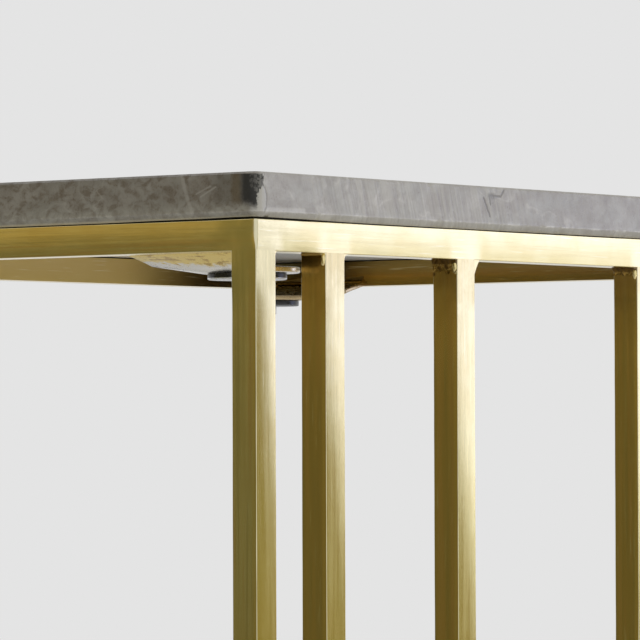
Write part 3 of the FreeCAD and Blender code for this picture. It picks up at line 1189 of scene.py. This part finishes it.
def add_glides():
    """Four round feet with soft edges and stems."""
    look = black_look("glide_nylon", nylon_colours, roughness=0.5, grain=2.2, depth=nylon_depth)
    for corner in corner_signs:
        node = "floor_glide_" + corner
        low, high = node_box(node)
        middle = (low + high) / 2
        radius = (high.x - low.x) / 2
        profile = [(radius / 2, low.z)] + lower_rim(radius, low.z, glide_edge, glide_rim_steps)
        profile += [(radius, base_low.z - glide_edge / 4), (radius - glide_edge / 4, base_low.z)]
        profile += [(glide_stem_radius, base_low.z), (glide_stem_radius, high.z)]
        bm = bmesh.new()
        skin(bm, lathe(profile, middle.xy))
        add_piece("nylon_glide_" + corner, bm, look, [node])


def add_bead(bm, bead, corner, out, fall, run, row_count, lane):
    """A weld bead in a square corner, with legs along out and fall. Gives a lump mark for each point."""
    rows = []
    length = run.length
    for share in np.linspace(0, 1, row_count):
        swell = 1 + bead.lump_share * noise.noise(Vector((share * length / bead_wave, lane * 1.7, 0.5)))
        leg_out, leg_fall = (leg * swell for leg in bead.legs)
        base = corner + run * share
        row = []
        for step in np.linspace(0, 1, bead_arc_steps):
            turn = step * math.pi / 2
            ripple = 1 + bead.lump_share * noise.noise(Vector((turn * 2.4, share * length, lane * 2.3)))
            hollow_out = 1 - math.sin(turn) * ripple
            hollow_fall = 1 - math.cos(turn) * ripple
            reach_out = leg_out * (1 - step + bead.hollow_share * (hollow_out - 1 + step))
            reach_fall = leg_fall * (step + bead.hollow_share * (hollow_fall - step))
            row.append(base + out * max(reach_out, 0) + fall * max(reach_fall, 0))
        row.append(base - out * bead_root + fall * leg_fall)
        row.append(base - out * bead_root - fall * bead_root)
        row.append(base + out * leg_out - fall * bead_root)
        rows.append(row)
    skin(bm, rows)
    return [bead.lump_share] * (len(rows) * len(rows[0]))


def add_nugget(bm, centre, lane):
    """A drop of weld metal left at the end of a bead. Gives a lump mark for each point."""
    rows = []
    first, last = (share * math.pi for share in nugget_polar_shares)
    for polar in np.linspace(first, last, nugget_rows):
        row = []
        for turn in full_turn(nugget_steps):
            flat = math.sin(polar)
            way = Vector((flat * math.cos(turn), flat * math.sin(turn), math.cos(polar)))
            swell = 1 + nugget_swell_share * noise.noise(way * 1.6 + Vector((lane, 0, 0)))
            row.append(centre + Vector([part * reach * swell for part, reach in zip(way, nugget_reach)]))
        rows.append(row)
    skin(bm, rows)
    return [0.0] * (nugget_rows * nugget_steps)


def add_upright_beads(name, node, height, fall, look):
    """The beads beside every upright at one ring."""
    bm = bmesh.new()
    lumps = []
    for number, upright in enumerate(upright_nodes):
        low, high = node_box(upright)
        run = y_axis * (high.y - low.y - 2 * bead_setback)
        for sign, corner_x in ((-1, low.x), (1, high.x)):
            if abs(corner_x) > half_width - bar_half:
                continue
            corner = Vector((corner_x, low.y + bead_setback, height))
            lane = number * 2 + sign
            bead = seen_beads.get((upright, sign), plain_bead)
            lumps += add_bead(bm, bead, corner, sign * x_axis, fall, run, bead_rows, lane)
            if upright.startswith("slat") and sign < 0:
                deep = low.y + nugget_reach[1] * (1 + nugget_swell_share)
                drop = Vector((corner_x, deep, height)) + fall * nugget_reach[2]
                lumps += add_nugget(bm, drop, lane)
    add_piece(name, bm, look, [node], {"lumps": lumps}, bead_crease_angle)


def add_tab_beads(look):
    """The bead over the root of each tab."""
    bm = bmesh.new()
    lumps = []
    for number, (sign_x, sign_y) in enumerate(corner_signs.values()):
        corner = Vector((-sign_x * tab_low.x, -sign_y * tab_low.y, tab_high.z))
        run = y_axis * -sign_y * (tab_high.y - tab_low.y)
        lane = tab_bead_lane + number
        lumps += add_bead(bm, tab_bead, corner, -sign_x * x_axis, z_axis, run, tab_bead_rows, lane)
    add_piece("weld_tabs", bm, look, ["tab_weld_beads"], {"lumps": lumps}, bead_crease_angle)


def add_beads():
    """All weld beads, in one finish."""
    look = weld_look()
    add_upright_beads("weld_top", "top_weld_beads", rail_low.z, -z_axis, look)
    add_upright_beads("weld_base", "base_weld_beads", base_high.z, z_axis, look)
    add_tab_beads(look)


def dress_nodes():
    """Finishes for the small CAD nodes whose shape is right as it is."""
    foam = black_look("tape_foam", foam_colours, roughness=0.9, grain=3.0, depth=foam_depth)
    bush = metal_look("insert_brass", insert_colours, roughness=0.3, grain=0.4)
    for side in ring_sides:
        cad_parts["cushion_tape_" + side].material_slots[0].material = foam
    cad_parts["threaded_inserts"].material_slots[0].material = bush


def add_camera():
    """The camera of the photo."""
    yaw, pitch, roll = (math.radians(angle) for angle in (camera_yaw, camera_pitch, camera_roll))
    ahead = Vector((math.cos(yaw) * math.cos(pitch), math.sin(yaw) * math.cos(pitch), math.sin(pitch)))
    level_right = Vector((math.sin(yaw), -math.cos(yaw), 0))
    level_up = level_right.cross(ahead)
    right = level_right * math.cos(roll) + level_up * math.sin(roll)
    upward = level_up * math.cos(roll) - level_right * math.sin(roll)
    data = bpy.data.cameras.new("photo_camera")
    data.lens = camera_lens
    camera = put_in_scene("photo_camera", data)
    turn = Matrix((right, upward, -ahead)).transposed().to_4x4()
    camera.matrix_world = Matrix.Translation(camera_place * MM) @ turn
    bpy.context.scene.camera = camera


def aim(place, target, roll=0):
    """A matrix that puts a light or card at a place, facing a target, rolled by an angle."""
    turn = (place - target).to_track_quat("Z", "Y").to_matrix().to_4x4()
    return Matrix.Translation(place * MM) @ turn @ Matrix.Rotation(math.radians(roll), 4, "Z")


def add_softbox(name, place, size, colour, roll=0, mirrored=True):
    """A rectangular soft light of a given radiance, facing the table, mirrored in the metal or not."""
    data = bpy.data.lights.new(name, "AREA")
    data.shape = "RECTANGLE"
    data.size = size[0] * MM
    data.size_y = size[1] * MM
    data.energy = math.pi * data.size * data.size_y
    data.color = colour
    light = put_in_scene(name, data)
    light.matrix_world = aim(place, table_middle, roll)
    light.visible_camera = False
    light.visible_glossy = mirrored


def add_card(name, place, size, colour):
    """A coloured card beside the table, seen only in its reflections and by its light."""
    mesh = bpy.data.meshes.new(name)
    half_x, half_y = size[0] * MM / 2, size[1] * MM / 2
    corners = [(-half_x, -half_y, 0), (half_x, -half_y, 0), (half_x, half_y, 0), (-half_x, half_y, 0)]
    mesh.from_pydata(corners, [], [(0, 1, 2, 3)])
    material = bpy.data.materials.new(name)
    material.use_nodes = True
    nodes = material.node_tree.nodes
    nodes.remove(nodes["Principled BSDF"])
    glow = nodes.new("ShaderNodeEmission")
    glow.inputs["Color"].default_value = (*colour, 1)
    material.node_tree.links.new(glow.outputs[0], nodes["Material Output"].inputs["Surface"])
    mesh.materials.append(material)
    card = put_in_scene(name, mesh)
    card.matrix_world = aim(place, Vector((table_middle.x, table_middle.y, place.z)))
    card.visible_camera = False
    card.visible_shadow = False


def add_lights():
    """The key light and the front light, a card on the right and a card in two colours on the left."""
    add_softbox("key", key_place, key_size, key_colour, key_roll)
    add_softbox("front", front_place, front_size, front_colour, mirrored=False)
    add_card("right_card", right_card_place, right_card_size, right_card_colour)
    for level, sign in (("low", -1), ("high", 1)):
        place = left_card_place + z_axis * sign * left_card_size[1] / 2
        add_card("left_card_" + level, place, left_card_size, left_card_colours[level])


def add_world():
    """Pale surroundings: full strength for what is seen, less for the light they give."""
    world = bpy.data.worlds.new("studio")
    world.use_nodes = True
    bpy.context.scene.world = world
    nodes, links = world.node_tree.nodes, world.node_tree.links
    seen = nodes["Background"]
    fill = nodes.new("ShaderNodeBackground")
    for background, level in ((seen, background_level), (fill, ambient_level)):
        background.inputs["Color"].default_value = (level, level, level, 1)
    path = nodes.new("ShaderNodeLightPath")
    is_seen = path.outputs["Is Camera Ray"]
    for kind in ("Is Glossy Ray", "Is Transmission Ray"):
        either = nodes.new("ShaderNodeMath")
        either.operation = "MAXIMUM"
        links.new(is_seen, either.inputs[0])
        links.new(path.outputs[kind], either.inputs[1])
        is_seen = either.outputs[0]
    mixed = nodes.new("ShaderNodeMixShader")
    for source, socket in zip((is_seen, fill.outputs[0], seen.outputs[0]), mixed.inputs):
        links.new(source, socket)
    links.new(mixed.outputs[0], nodes["World Output"].inputs["Surface"])


def add_floor():
    """A pale round floor that fades out into the surroundings."""
    bm = bmesh.new()
    bmesh.ops.create_circle(bm, cap_ends=True, segments=circle_steps * 2, radius=floor_radius * MM)
    mesh = bpy.data.meshes.new("floor")
    bm.to_mesh(mesh)
    bm.free()
    look = Look("floor", floor_colour)
    grain = look.noise(look.place, scale=0.01)
    look.paint(grain.spread(0.3, 0.7, 0.0, 0.04), floor_grain_colour)
    look.shader.inputs["Specular IOR Level"].default_value = 0.1
    distance = look.node("VectorMath", {0: look.place}, "Value", operation="LENGTH")
    look.feed(look.shader.inputs["Alpha"], distance.fade(floor_radius - floor_fade, floor_radius))
    mesh.materials.append(look.done(0.9, look.bump(grain, floor_depth)))
    put_in_scene("floor", mesh)


add_slab()
add_bars()
add_tabs()
add_washers()
add_bolts()
add_glides()
add_beads()
dress_nodes()
add_camera()
add_world()
add_floor()
add_lights()
bpy.context.scene.view_settings.view_transform = "Standard"
